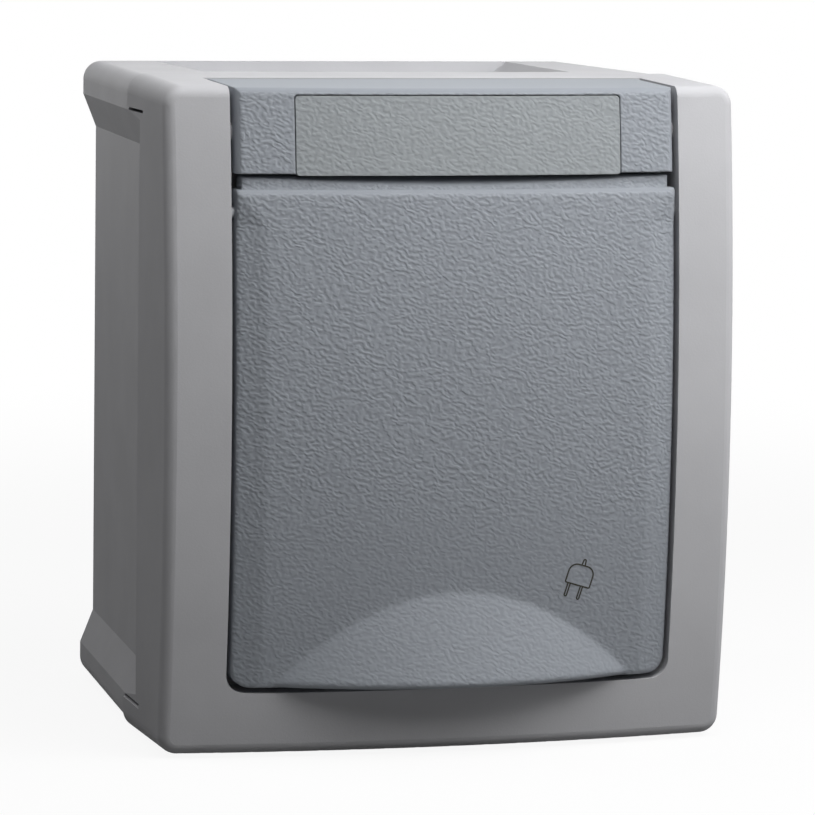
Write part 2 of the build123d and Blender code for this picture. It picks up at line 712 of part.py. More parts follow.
# Earth strap: web behind the well, two side clips and a terminal tab
with BuildPart() as strap:
    web_depth = insert_back - strap_thickness
    with BuildSketch(Plane.YZ):
        for side in (-1, 1):
            clip_z = socket_z + side * (clip_plane - strap_thickness / 2)
            clip_in = clip_z - side * clip_reach
            clip_out = side * strap_thickness
            clip_root = well_bottom
            clip_tip = flange_back - slot_bridge - 0.8
            clip_mid = (clip_root + clip_tip) / 2 + 2
            with BuildLine():
                Polyline(
                    (-web_depth, clip_z),
                    (-clip_root, clip_z),
                    (-clip_mid, clip_in),
                    (-clip_tip, clip_z),
                    (-clip_tip, clip_z + clip_out),
                    (-clip_mid, clip_in + 1.05 * clip_out),
                    (-clip_root, clip_z + clip_out),
                    (-web_depth, clip_z + clip_out),
                    close=True,
                )
            make_face()
        with Locations((-web_depth - strap_thickness / 2, socket_z)):
            Rectangle(strap_thickness, 2 * (clip_plane + strap_thickness / 2))
        # Tab for the earth terminal, bent back from the web
        tab_z = socket_z - terminal_offset + terminal_width / 2 + 0.4
        with Locations((-insert_back, tab_z)):
            Rectangle(insert_back - contact_back, strap_thickness, align=(Align.MIN, Align.MIN))
        with Locations((-contact_back, tab_z + strap_thickness)):
            Rectangle(contact_sheet, terminal_width + 1.4, align=(Align.MAX, Align.MAX))
    extrude(amount=strap_width / 2, both=True)
    with BuildSketch(Plane.XZ.offset(web_depth)):
        with Locations((0, socket_z)):
            Circle(insert_screw_radius + 4 * screw_gap)
        with Locations((0, socket_z - terminal_offset)):
            Circle(terminal_screw_head_radius + 3 * screw_gap)
    extrude(amount=strap_thickness, mode=Mode.SUBTRACT)
    with BuildSketch(Plane.XZ.offset(contact_back)):
        with Locations((0, socket_z - terminal_offset)):
            Circle(terminal_screw_radius)
    extrude(amount=contact_sheet, mode=Mode.SUBTRACT)


# Spring contacts: two leaves round each pin and a tab up to the terminal
contacts = []
for x in (-pin_pitch / 2, pin_pitch / 2):
    leaf = contact_opening / 2
    with BuildPart() as contact:
        with BuildSketch(Plane.YZ.offset(x - contact_width / 2)):
            for side in (-1, 1):
                with Locations((-insert_back + 0.5, socket_z + side * (leaf + contact_sheet / 2))):
                    Rectangle(contact_length - 0.5, contact_sheet, align=(Align.MIN, Align.CENTER))
            with Locations((-contact_back, socket_z - leaf - contact_sheet)):
                Rectangle(
                    contact_sheet,
                    leaf + contact_sheet + terminal_offset + terminal_width / 2,
                    align=(Align.MAX, Align.MIN),
                )
        extrude(amount=contact_width)
        with BuildSketch(Plane.XZ.offset(contact_back)):
            with Locations((x, socket_z + terminal_offset)):
                Circle(terminal_screw_radius)
        extrude(amount=contact_sheet, mode=Mode.SUBTRACT)
    contacts.append(contact)
live, neutral = contacts

terminal_spots = (
    (-pin_pitch / 2, socket_z + terminal_offset),
    (pin_pitch / 2, socket_z + terminal_offset),
    (0, socket_z - terminal_offset),
)
clamp_back = contact_back + contact_sheet
clamp_front = clamp_back + clamp_thickness

# Clamping plates at the three terminals
with BuildPart() as clamps:
    with BuildSketch(Plane.XZ.offset(clamp_back)):
        with Locations(*terminal_spots):
            Rectangle(contact_width - 0.4, contact_width)
            Circle(terminal_screw_radius + screw_gap, mode=Mode.SUBTRACT)
    extrude(amount=clamp_thickness)

# Terminal screws
with BuildPart() as terminal_screws:
    with BuildSketch(Plane.XZ.offset(clamp_front)):
        with Locations(*terminal_spots):
            Circle(terminal_screw_head_radius)
    extrude(amount=terminal_screw_head)
    with BuildSketch(Plane.XZ.offset(clamp_front)):
        with Locations(*terminal_spots):
            Circle(terminal_screw_radius)
    extrude(amount=-terminal_screw_length)
    with BuildSketch(Plane.XZ.offset(clamp_front + terminal_screw_head)):
        with Locations(*terminal_spots):
            Rectangle(3 * terminal_screw_head_radius, screw_slot_width)
    extrude(amount=-screw_slot_depth, mode=Mode.SUBTRACT)

# Contact carrier: block with chambers, ears on the posts of the base
with BuildPart() as carrier:
    with BuildSketch(Plane.XZ.offset(carrier_back)):
        with Locations((0, socket_z)):
            RectangleRounded(carrier_width, carrier_height, corner_radius)
    extrude(amount=carrier_depth)
    with BuildSketch(Plane.XZ.offset(ear_back)):
        with Locations((0, socket_z)):
            SlotOverall(ear_span, ear_width)
    extrude(amount=ear_thickness)
    with BuildSketch(Plane.XZ.offset(ear_back)):
        with Locations((-carrier_screw_pitch / 2, socket_z), (carrier_screw_pitch / 2, socket_z)):
            Circle(carrier_screw_radius + screw_gap)
    extrude(amount=ear_thickness, mode=Mode.SUBTRACT)
    with BuildSketch(Plane.XZ.offset(insert_back - strap_thickness)):
        with Locations((0, socket_z)):
            Rectangle(strap_width + 2 * strap_gap, 2 * carrier_height)
    extrude(amount=strap_thickness, mode=Mode.SUBTRACT)
    chamber_low = socket_z - contact_opening / 2 - contact_sheet - chamber_gap
    chamber_high = socket_z + terminal_offset + terminal_width / 2 + chamber_gap
    with BuildSketch(Plane.XZ.offset(contact_back)):
        with Locations(
            (-pin_pitch / 2, (chamber_low + chamber_high) / 2),
            (pin_pitch / 2, (chamber_low + chamber_high) / 2),
        ):
            Rectangle(chamber_width, chamber_high - chamber_low)
        with Locations((0, tab_z + strap_thickness + chamber_gap)):
            Rectangle(
                strap_width + 2 * strap_gap,
                terminal_width + 1.4 + 2 * chamber_gap,
                align=(Align.CENTER, Align.MAX),
            )
    extrude(amount=contact_length, mode=Mode.SUBTRACT)
    # Wire entries beside the terminals
    with BuildSketch(Plane.XZ.offset(clamp_back)):
        with Locations((-pin_pitch / 2, socket_z), (pin_pitch / 2, socket_z)):
            Rectangle(contact_width / 2, carrier_height, align=(Align.CENTER, Align.MIN))
        with Locations((0, socket_z - terminal_offset)):
            Rectangle(contact_width / 2, carrier_height, align=(Align.CENTER, Align.MAX))
    extrude(amount=contact_width / 2, mode=Mode.SUBTRACT)
    with BuildSketch(Plane.XZ.offset(carrier_back)):
        with Locations(*terminal_spots):
            Circle(terminal_screw_radius + 2 * screw_gap)
        with Locations((0, socket_z)):
            Circle(insert_screw_radius)
    extrude(amount=carrier_depth, mode=Mode.SUBTRACT)

# Screws that fix the carrier on the posts
with BuildPart() as carrier_screws:
    carrier_spots = ((-carrier_screw_pitch / 2, socket_z), (carrier_screw_pitch / 2, socket_z))
    with BuildSketch(Plane.XZ.offset(ear_front)):
        with Locations(*carrier_spots):
            Circle(carrier_screw_head_radius)
    extrude(amount=carrier_screw_head)
    with BuildSketch(Plane.XZ.offset(ear_front)):
        with Locations(*carrier_spots):
            Circle(carrier_screw_radius)
    extrude(amount=-carrier_screw_length)
    with BuildSketch(Plane.XZ.offset(ear_front + carrier_screw_head)):
        with Locations(*carrier_spots):
            Rectangle(3 * carrier_screw_head_radius, screw_slot_width)
    extrude(amount=-screw_slot_depth, mode=Mode.SUBTRACT)

# Cable grommet: rubber sleeve with a stepped membrane, in the bottom inlet
with BuildPart() as grommet:
    seat_z = -inlet_z + grommet_seat
    with BuildSketch(Plane.XY.offset(seat_z - grommet_flange_thickness)):
        with Locations((0, -inlet_depth)):
            Circle(inlet_radius + grommet_flange)
    extrude(amount=grommet_flange_thickness)
    with BuildSketch(Plane.XY.offset(seat_z)):
        with Locations((0, -inlet_depth)):
            Circle(inlet_radius)
    extrude(amount=grommet_length)
    for step in range(3):
        membrane_z = seat_z - grommet_flange_thickness + membrane_thickness * (step + 1)
        with BuildSketch(Plane.XY.offset(membrane_z)):
            with Locations((0, -inlet_depth)):
                Circle(inlet_radius - grommet_wall - step * grommet_wall)
        extrude(amount=grommet_length + grommet_flange_thickness, mode=Mode.SUBTRACT)

# Rubber seals in the wall screw holes
with BuildPart() as seals:
    with BuildSketch(Plane.XZ.offset(back_wall)):
        with GridLocations(0, wall_screw_pitch, 1, 2):
            Circle(seal_outer_radius)
            Circle(wall_screw_radius, mode=Mode.SUBTRACT)
    extrude(amount=seal_thickness)

os.makedirs("parts", exist_ok=True)

base.part.label = "base_housing"
export_step(base.part, "parts/base_housing.step")
frame.part.label = "front_frame"
export_step(frame.part, "parts/front_frame.step")
cover.part.label = "hinge_cover"
export_step(cover.part, "parts/hinge_cover.step")
label.part.label = "label_plate"
export_step(label.part, "parts/label_plate.step")
lid.part.label = "flap_lid"
export_step(lid.part, "parts/flap_lid.step")
lid_gasket.part.label = "lid_gasket"
export_step(lid_gasket.part, "parts/lid_gasket.step")
hinge_pin.part.label = "hinge_pin"
export_step(hinge_pin.part, "parts/hinge_pin.step")
spring.part.label = "lid_spring"
export_step(spring.part, "parts/lid_spring.step")
insert.part.label = "socket_insert"
export_step(insert.part, "parts/socket_insert.step")
insert_gasket.part.label = "insert_gasket"
export_step(insert_gasket.part, "parts/insert_gasket.step")
insert_screw.part.label = "insert_screw"
export_step(insert_screw.part, "parts/insert_screw.step")
strap.part.label = "earth_strap"
export_step(strap.part, "parts/earth_strap.step")
live.part.label = "live_contact"
export_step(live.part, "parts/live_contact.step")
neutral.part.label = "neutral_contact"
export_step(neutral.part, "parts/neutral_contact.step")
clamps.part.label = "clamp_plates"
export_step(clamps.part, "parts/clamp_plates.step")
terminal_screws.part.label = "terminal_screws"
export_step(terminal_screws.part, "parts/terminal_screws.step")
carrier.part.label = "contact_carrier"
export_step(carrier.part, "parts/contact_carrier.step")
carrier_screws.part.label = "carrier_screws"
export_step(carrier_screws.part, "parts/carrier_screws.step")
grommet.part.label = "cable_grommet"
export_step(grommet.part, "parts/cable_grommet.step")
seals.part.label = "wall_screw_seals"
export_step(seals.part, "parts/wall_screw_seals.step")
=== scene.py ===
import json
import math

import bmesh
import bpy
from mathutils import Matrix, Vector


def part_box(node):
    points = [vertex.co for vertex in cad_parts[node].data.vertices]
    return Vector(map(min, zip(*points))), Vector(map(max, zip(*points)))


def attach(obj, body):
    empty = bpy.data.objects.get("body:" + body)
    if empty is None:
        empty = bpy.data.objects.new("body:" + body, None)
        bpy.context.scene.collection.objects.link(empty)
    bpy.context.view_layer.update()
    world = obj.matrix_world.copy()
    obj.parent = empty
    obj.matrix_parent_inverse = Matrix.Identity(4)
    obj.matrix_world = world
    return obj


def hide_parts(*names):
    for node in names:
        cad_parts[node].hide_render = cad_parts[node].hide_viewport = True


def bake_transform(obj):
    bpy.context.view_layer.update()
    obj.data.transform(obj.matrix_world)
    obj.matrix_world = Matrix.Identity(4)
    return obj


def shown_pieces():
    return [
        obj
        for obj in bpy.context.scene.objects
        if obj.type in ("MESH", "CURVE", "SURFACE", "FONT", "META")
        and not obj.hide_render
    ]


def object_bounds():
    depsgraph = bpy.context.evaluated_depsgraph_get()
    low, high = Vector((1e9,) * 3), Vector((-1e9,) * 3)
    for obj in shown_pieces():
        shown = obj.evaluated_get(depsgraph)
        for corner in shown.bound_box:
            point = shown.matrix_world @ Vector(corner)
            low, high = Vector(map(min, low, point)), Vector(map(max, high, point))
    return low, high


# Outdoor socket with a hinged lid. Metres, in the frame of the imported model: the wall is y = 0 and the front
# faces -Y.
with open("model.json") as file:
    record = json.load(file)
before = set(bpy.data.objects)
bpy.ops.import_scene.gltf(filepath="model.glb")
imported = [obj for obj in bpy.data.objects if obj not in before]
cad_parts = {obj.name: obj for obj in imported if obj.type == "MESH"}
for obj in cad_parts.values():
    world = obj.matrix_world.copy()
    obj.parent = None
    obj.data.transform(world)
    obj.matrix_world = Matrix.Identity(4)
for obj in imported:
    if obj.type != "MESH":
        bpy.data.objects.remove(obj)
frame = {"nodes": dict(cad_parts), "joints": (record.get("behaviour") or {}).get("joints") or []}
cad_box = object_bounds()
nodes = frame["nodes"]
hinge = frame["joints"][0]

MM = 0.001

# Sizes that repeat those of the solids
FRONT_RADIUS = 270.0 * MM  # the curved front, seen from the side
SIDE_RADIUS = 200.0 * MM  # the curved front, seen from above
FRONT_CENTRE = 210.6 * MM
LID_PROUD = 0.2 * MM
COIL_RADIUS = 1.2 * MM
COIL_WIRE = 0.6 * MM
COIL_HALF = 1.4 * MM
COIL_LEG = 2.25 * MM

# Fineness of the spring's wire
COIL_STEPS = 126
COIL_STEP = math.radians(15)
FRAME_LEG_STEPS = 7
LID_LEG_STEPS = 5
WIRE_SIDES = 10

SMOOTH_ANGLE = math.radians(32)

# Textures; most values of a noise lie within NOISE_SPAN
NOISE_SPAN = (0.3, 0.7)
PLASTIC_DRIFT = 9 * MM
PLASTIC_GRAIN = 0.22 * MM
PLASTIC_DEPTH = 0.012 * MM
GRAIN_SIZE = (0.53 * MM, 0.45 * MM, 0.37 * MM)
GRAIN_SLANT = math.radians(19)
GRAIN_DISTORTION = 0.15
GRAIN_SPAN = (0.2, 0.8)
GRAIN_DEPTH = 0.06 * MM
LABEL_DEPTH = 0.046 * MM
GRAIN_ROUGHNESS = 0.5
GRAIN_FRONT = (-0.97, -0.8)  # the normal's y, from the grained front to the smooth edges
GRAIN_LOW = (-16 * MM, -5 * MM)  # heights between which the grain goes from shallow to full depth
SHALLOW = 0.66
GRAIN_DRIFT = 7 * MM
# Shares of the grain's colour: painted shade that follows the wrinkles' height, and a random drift of tone
VALLEY_SHADE_SHARE = 0.7
DRIFT_SHARE = 0.3
WARP_SIZE = 2.6 * MM
WARP_PUSH = 0.65 * MM
RUBBER_DUST = 1.6 * MM
RUBBER_GRAIN = 0.3 * MM
RUBBER_DEPTH = 0.01 * MM
RUBBER_ROUGHNESS = 0.75
PLASTIC_SPECULAR = 0.3
HOUSING_SPECULAR = 0.02
METAL_LINES = 0.25 * MM
METAL_TARNISH = 3 * MM

# The sign's own axes: u along the plug's base, v towards its cord, from the middle of the base
SIGN_PLACE = (14.3 * MM, -19.0 * MM)
SIGN_TILT = math.radians(-17)
SIGN_LINE = 0.17 * MM
SIGN_LIFT = 0.03 * MM
PLUG_HALF = 1.55 * MM
PLUG_HEIGHT = 2.35 * MM
DOME_RADIUS = 1.0 * MM
FOOT_RADIUS = 0.15 * MM
STUB_HALF = 0.21 * MM
STUB_TOP = 2.92 * MM
STUB_RADIUS = 0.14 * MM
PRONG_PLACES = (-1.03 * MM, 0.57 * MM)
PRONG_HALF = 0.14 * MM
PRONG_LENGTH = 1.42 * MM

# Floor and world
FLOOR_HALF = 4.0
FLOOR_BOUNCE = 0.18
FLOOR_PAPER = 0.95
WHITE_STRENGTH = 1.0
FADE_REACH = (0.10, 0.32)
FADE_WHITE = (0.91, 1.0)
ROOM_COLOUR = (0.93, 0.96, 1.0, 1)
ROOM_STRENGTH = 0.012

# Camera fitted to the photo's outline
CAMERA_PLACE = (-0.14554, -0.54425, 0.06345)
CAMERA_FORWARD = (0.27371, 0.95417, -0.1210)
CAMERA_UP = (0.01933, 0.12033, 0.99255)
CAMERA_LENS = 199.9
SENSOR_WIDTH = 36.0
CLIP_START = 0.01
CLIP_END = 20


def srgb(r, g, b):
    """Linear colour from 0-255 display values."""
    def one(v):
        v /= 255
        return v / 12.92 if v <= 0.04045 else ((v + 0.055) / 1.055) ** 2.4
    return one(r), one(g), one(b), 1.0


def grey(value):
    return value, value, value, 1


def tint(colour, factor):
    return tuple(min(1.0, c * factor) for c in colour[:3]) + (1.0,)


# Shader nodes
def new_material(name, roughness, metallic=0.0, specular=0.5):
    material = bpy.data.materials.new(name)
    material.use_nodes = True
    shader = material.node_tree.nodes["Principled BSDF"]
    shader.inputs["Roughness"].default_value = roughness
    shader.inputs["Metallic"].default_value = metallic
    shader.inputs["Specular IOR Level"].default_value = specular
    return material, material.node_tree, shader


def noise(tree, size, detail, vector=None, distortion=0.0):
    """Noise with features of about a size, on the object's own coordinates if no others are given."""
    node = tree.nodes.new("ShaderNodeTexNoise")
    node.inputs["Scale"].default_value = 1 / size
    node.inputs["Detail"].default_value = detail
    node.inputs["Distortion"].default_value = distortion
    if vector is None:
        vector = tree.nodes.new("ShaderNodeTexCoord").outputs["Object"]
    tree.links.new(vector, node.inputs["Vector"])
    return node.outputs["Fac"]


def ramp(tree, value, low, high):
    """Colours blended between two stops, each a position and a colour."""
    node = tree.nodes.new("ShaderNodeValToRGB")
    for element, (position, colour) in zip(node.color_ramp.elements, (low, high)):
        element.position = position
        element.color = colour
    tree.links.new(value, node.inputs["Fac"])
    return node.outputs["Color"]


def maths(tree, operation, a, b):
    node = tree.nodes.new("ShaderNodeMath")
    node.operation = operation
    for socket, value in zip(node.inputs, (a, b)):
        if isinstance(value, (int, float)):
            socket.default_value = value
        else:
            tree.links.new(value, socket)
    return node.outputs["Value"]


def map_range(tree, value, span, to_span):
    """Value taken smoothly from one span to another."""
    node = tree.nodes.new("ShaderNodeMapRange")
    node.interpolation_type = "SMOOTHSTEP"
    tree.links.new(value, node.inputs["Value"])
    for name, number in zip(("From Min", "From Max", "To Min", "To Max"), (*span, *to_span)):
        node.inputs[name].default_value = number
    return node.outputs["Result"]


def axis_of(tree, vector, axis):
    """One coordinate of a vector."""
    node = tree.nodes.new("ShaderNodeSeparateXYZ")
    tree.links.new(vector, node.inputs["Vector"])
    return node.outputs[axis]


def bump(tree, shader, height, distance, edge_radius=0.0):
    """Relief from a height, over edges that look rounded by a radius."""
    node = tree.nodes.new("ShaderNodeBump")
    node.inputs["Distance"].default_value = distance
    if edge_radius:
        rounding = tree.nodes.new("ShaderNodeBevel")
        rounding.inputs["Radius"].default_value = edge_radius
        tree.links.new(rounding.outputs["Normal"], node.inputs["Normal"])
    tree.links.new(height, node.inputs["Height"])
    tree.links.new(node.outputs["Normal"], shader.inputs["Normal"])


# Materials
def moulded_plastic(name, colour, roughness, mottle=0.03, specular=PLASTIC_SPECULAR):
    """Matte moulded plastic with a fine spark-eroded texture and a faint drift of tone."""
    material, tree, shader = new_material(name, roughness, specular=specular)
    drift = noise(tree, PLASTIC_DRIFT, 3.0)
    tone = ramp(tree, drift, (0.3, tint(colour, 1 - mottle)), (0.7, tint(colour, 1 + mottle)))
    tree.links.new(tone, shader.inputs["Base Color"])
    fine = noise(tree, PLASTIC_GRAIN, 2.0)
    sheen = map_range(tree, fine, NOISE_SPAN, (roughness - 0.05, roughness + 0.06))
    tree.links.new(sheen, shader.inputs["Roughness"])
    bump(tree, shader, fine, PLASTIC_DEPTH)
    return material


def grained_plastic(name, colour, edge_radius, depth=GRAIN_DEPTH):
    """Plastic with a leather-like grain of short slanting wrinkles on its front, smooth on the edges."""
    material, tree, shader = new_material(name, GRAIN_ROUGHNESS, specular=PLASTIC_SPECULAR)
    coords = tree.nodes.new("ShaderNodeTexCoord")

    # Wrinkles: stretched noise, on coordinates that a coarser noise pushes about
    warp = noise(tree, WARP_SIZE, 2.0)
    push = maths(tree, "MULTIPLY", warp, WARP_PUSH)
    shifted = tree.nodes.new("ShaderNodeVectorMath")
    tree.links.new(coords.outputs["Object"], shifted.inputs[0])
    tree.links.new(push, shifted.inputs[1])
    mapping = tree.nodes.new("ShaderNodeMapping")
    mapping.vector_type = "TEXTURE"
    mapping.inputs["Rotation"].default_value = (0, GRAIN_SLANT, 0)
    mapping.inputs["Scale"].default_value = GRAIN_SIZE
    tree.links.new(shifted.outputs["Vector"], mapping.inputs["Vector"])
    wrinkles = noise(tree, 1.0, 0.0, mapping.outputs["Vector"], GRAIN_DISTORTION)
    wrinkles = map_range(tree, wrinkles, GRAIN_SPAN, (0.0, 1.0))

    # None on the edges, and shallower ones low on the lid
    front = map_range(tree, axis_of(tree, coords.outputs["Normal"], "Y"), GRAIN_FRONT, (1.0, 0.0))
    calm = map_range(tree, axis_of(tree, coords.outputs["Object"], "Z"), GRAIN_LOW, (SHALLOW, 1.0))
    height = maths(tree, "MULTIPLY", maths(tree, "MULTIPLY", wrinkles, front), calm)
    bump(tree, shader, height, depth, edge_radius)

    # Painted shade: the colour darkens where the wrinkles' height is low, in their valleys, and so also a
    # little low on the lid where the grain is shallower; DRIFT_SHARE of it is a random drift of tone
    drift = maths(tree, "MULTIPLY", noise(tree, GRAIN_DRIFT, 2.0), DRIFT_SHARE)
    shade = maths(tree, "ADD", maths(tree, "MULTIPLY", height, VALLEY_SHADE_SHARE), drift)
    tone = ramp(tree, shade, (0.1, tint(colour, 0.95)), (0.9, tint(colour, 1.04)))
    tree.links.new(tone, shader.inputs["Base Color"])
    sheen = map_range(tree, height, (0.0, 1.0), (GRAIN_ROUGHNESS + 0.12, GRAIN_ROUGHNESS))
    tree.links.new(sheen, shader.inputs["Roughness"])
    return material


def soft_rubber(name, colour):
    """Dull rubber with a little dust."""
    material, tree, shader = new_material(name, RUBBER_ROUGHNESS, specular=PLASTIC_SPECULAR)
    dust = noise(tree, RUBBER_DUST, 4.0)
    tone = ramp(tree, dust, (0.35, tint(colour, 0.8)), (0.7, tint(colour, 1.3)))
    tree.links.new(tone, shader.inputs["Base Color"])
    bump(tree, shader, noise(tree, RUBBER_GRAIN, 2.0), RUBBER_DEPTH)
    return material


def metal(name, colour, roughness, stretch=(1, 1, 1)):
    """Bare or plated metal with fine drawing lines in its gloss and slight tarnish."""
    material, tree, shader = new_material(name, roughness, metallic=1.0)
    coords = tree.nodes.new("ShaderNodeTexCoord")
    mapping = tree.nodes.new("ShaderNodeMapping")
    mapping.inputs["Scale"].default_value = stretch
    tree.links.new(coords.outputs["Object"], mapping.inputs["Vector"])
    lines = noise(tree, METAL_LINES, 2.0, mapping.outputs["Vector"])
    gloss = map_range(tree, lines, NOISE_SPAN, (roughness - 0.02, roughness + 0.05))
    tree.links.new(gloss, shader.inputs["Roughness"])
    tarnish = noise(tree, METAL_TARNISH, 3.0)
    tone = ramp(tree, tarnish, (0.3, tint(colour, 0.9)), (0.65, colour))
    tree.links.new(tone, shader.inputs["Base Color"])
    return material


finishes = {
    "housing": moulded_plastic("light_grey_plastic", srgb(204, 204, 207), 0.6, specular=HOUSING_SPECULAR),
    "lid": grained_plastic("blue_grey_grain", srgb(157, 162, 169), 0.9 * MM),
    "cover": grained_plastic("blue_grey_cover", srgb(157, 162, 169), 0.3 * MM),
    "label": grained_plastic("label_grain", srgb(160, 165, 168), 0.12 * MM, LABEL_DEPTH),
    "insert": moulded_plastic("blue_grey_plastic", srgb(160, 165, 173), 0.45),
    "rubber": soft_rubber("black_rubber", srgb(38, 38, 40)),
    "steel": metal("zinc_plated_steel", srgb(188, 190, 194), 0.32),
    "plated": metal("nickel_strip", srgb(205, 202, 194), 0.36, (1, 0.15, 0.15)),
    "brass": metal("brass", srgb(205, 170, 98), 0.35, (1, 0.2, 0.2)),
    "carrier": moulded_plastic("off_white_moulding", srgb(214, 210, 198), 0.55),
}
finish_of = {
    "base_housing": "housing", "front_frame": "housing", "hinge_cover": "cover", "label_plate": "label",
    "flap_lid": "lid", "lid_gasket": "rubber", "hinge_pin": "steel", "lid_spring": "steel",
    "socket_insert": "insert", "insert_gasket": "rubber", "insert_screw": "steel", "earth_strap": "plated",
    "live_contact": "brass", "neutral_contact": "brass", "clamp_plates": "brass", "terminal_screws": "steel",
    "contact_carrier": "carrier", "carrier_screws": "steel", "cable_grommet": "rubber",
    "wall_screw_seals": "rubber",
}
for name, node in nodes.items():
    node.data.materials.clear()
    node.data.materials.append(finishes[finish_of[name]])


def add_mesh(name, mesh_builder, material, body):
    """New piece from a bmesh, with its material, riding on a body if one is named."""
    mesh = bpy.data.meshes.new(name)
    builder = bmesh.new()
    mesh_builder(builder)
    builder.normal_update()
    builder.to_mesh(mesh)
    builder.free()
    piece = bpy.data.objects.new(name, mesh)
    bpy.context.scene.collection.objects.link(piece)
    mesh.materials.append(material)
    if body:
        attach(piece, body)
    return piece


# Plug sign, in thin raised lines on the lid: the outline of a plug with two pins and the stub of its cord
def lid_front(x, z, lift):
    """Point on the curved front of the lid."""
    reach = FRONT_RADIUS - SIDE_RADIUS + math.sqrt((SIDE_RADIUS + LID_PROUD) ** 2 - x ** 2)
    return Vector((x, FRONT_CENTRE - math.sqrt(reach ** 2 - z ** 2) - lift, z))


def arc(u, v, radius, start, end, steps=8):
    """Points along an arc, angles in degrees."""
    angles = (math.radians(start + (end - start) * k / steps) for k in range(steps + 1))
    return [(u + radius * math.cos(a), v + radius * math.sin(a)) for a in angles]


plug_body = (
    arc(FOOT_RADIUS - PLUG_HALF, FOOT_RADIUS, FOOT_RADIUS, 180, 270, 4)
    + arc(PLUG_HALF - FOOT_RADIUS, FOOT_RADIUS, FOOT_RADIUS, 270, 360, 4)
    + arc(PLUG_HALF - DOME_RADIUS, PLUG_HEIGHT - DOME_RADIUS, DOME_RADIUS, 0, 90)
    + arc(DOME_RADIUS - PLUG_HALF, PLUG_HEIGHT - DOME_RADIUS, DOME_RADIUS, 90, 180)
)
cord_stub = (
    [(-STUB_HALF, PLUG_HEIGHT)] + arc(0, STUB_TOP, STUB_RADIUS, 180, 0) + [(STUB_HALF, PLUG_HEIGHT)]
)
prongs = [
    [(u - PRONG_HALF, 0)] + arc(u, -PRONG_LENGTH, PRONG_HALF, 180, 360) + [(u + PRONG_HALF, 0)]
    for u in PRONG_PLACES
]
sign_strokes = [(plug_body, True), (cord_stub, False)] + [(prong, False) for prong in prongs]


def build_sign(builder):
    """Flat bars along the strokes, sunk a little into the lid."""
    cosine = math.cos(SIGN_TILT)
    sine = math.sin(SIGN_TILT)
    for points, closed in sign_strokes:
        path = [
            (SIGN_PLACE[0] + u * cosine - v * sine, SIGN_PLACE[1] + u * sine + v * cosine)
            for u, v in points
        ]
        rows = []
        for i, (x, z) in enumerate(path):
            before = path[i - 1] if closed or i else path[i]
            after = path[(i + 1) % len(path)] if closed or i + 1 < len(path) else path[i]
            along = Vector((after[0] - before[0], after[1] - before[1])).normalized()
            side = Vector((-along.y, along.x)) * SIGN_LINE / 2
            # Of each row: top and base on one side of the stroke, then on the other
            rows.append([
                builder.verts.new(lid_front(x + way * side.x, z + way * side.y, lift))
                for way in (1, -1)
                for lift in (SIGN_LIFT, -2 * SIGN_LIFT)
            ])
        followers = rows[1:] + rows[:1] if closed else rows[1:]
        for (top, base, top2, base2), (next_top, next_base, next_top2, next_base2) in zip(rows, followers):
            builder.faces.new((top, top2, next_top2, next_top))
            builder.faces.new((base, next_base, next_base2, base2))
            builder.faces.new((top, next_top, next_base, base))
            builder.faces.new((top2, base2, next_base2, next_top2))
        if not closed:
            top, base, top2, base2 = rows[0]
            builder.faces.new((top, base, base2, top2))
            top, base, top2, base2 = rows[-1]
            builder.faces.new((top, top2, base2, base))
    bmesh.ops.recalc_face_normals(builder, faces=builder.faces)


sign_ink = moulded_plastic("sign_ink", srgb(58, 57, 50), 0.6, mottle=0.12)
add_mesh("plug_sign", build_sign, sign_ink, "lid")


# Spring: a real helix round the pin, one leg on the frame and one on the lid
def tube(builder, path, radius):
    """Round wire along a path of points."""
    angles = [2 * math.pi * k / WIRE_SIDES for k in range(WIRE_SIDES)]
    rings = []
    up = None
    for i, point in enumerate(path):
        along = (path[min(i + 1, len(path) - 1)] - path[max(i - 1, 0)]).normalized()
        up = along.orthogonal().normalized() if up is None else (up - along * up.dot(along)).normalized()
        across = along.cross(up)
        rings.append([
            builder.verts.new(point + (up * math.cos(a) + across * math.sin(a)) * radius)
            for a in angles
        ])
    for one, two in zip(rings, rings[1:]):
        for k in range(WIRE_SIDES):
            after = (k + 1) % WIRE_SIDES
            builder.faces.new((one[k], one[after], two[after], two[k]))
    builder.faces.new(rings[0][::-1])
    builder.faces.new(rings[-1])
    bmesh.ops.recalc_face_normals(builder, faces=builder.faces)


axis_point = Vector(hinge["pos_m"])
recess_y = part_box("lid_spring")[1].y


def build_spring(builder):
    """Leg on the frame, coil from its lowest point to the front of the pin, leg on the lid."""
    path = []
    for step in range(FRAME_LEG_STEPS):
        y = recess_y + (axis_point.y - recess_y) * step / FRAME_LEG_STEPS
        path.append(Vector((-COIL_HALF, y, axis_point.z - COIL_RADIUS)))
    for step in range(COIL_STEPS + 1):
        angle = -math.pi / 2 - COIL_STEP * step
        x = -COIL_HALF + 2 * COIL_HALF * step / COIL_STEPS
        y = axis_point.y + COIL_RADIUS * math.cos(angle)
        path.append(Vector((x, y, axis_point.z + COIL_RADIUS * math.sin(angle))))
    for _ in range(LID_LEG_STEPS):
        path.append(path[-1] + Vector((0, 0, COIL_LEG / LID_LEG_STEPS)))
    tube(builder, path, COIL_WIRE / 2)


spring = add_mesh("spring_wire", build_spring, finishes["steel"], None)
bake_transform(spring)
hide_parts("lid_spring")

# Shading: smooth over curved faces, crisp at edges
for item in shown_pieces():
    if item.type == "MESH":
        item.data.shade_smooth()
        chosen = {
            "object": item,
            "active_object": item,
            "selected_objects": [item],
            "selected_editable_objects": [item],
        }
        with bpy.context.temp_override(**chosen):
            bpy.ops.object.shade_smooth_by_angle(angle=SMOOTH_ANGLE)


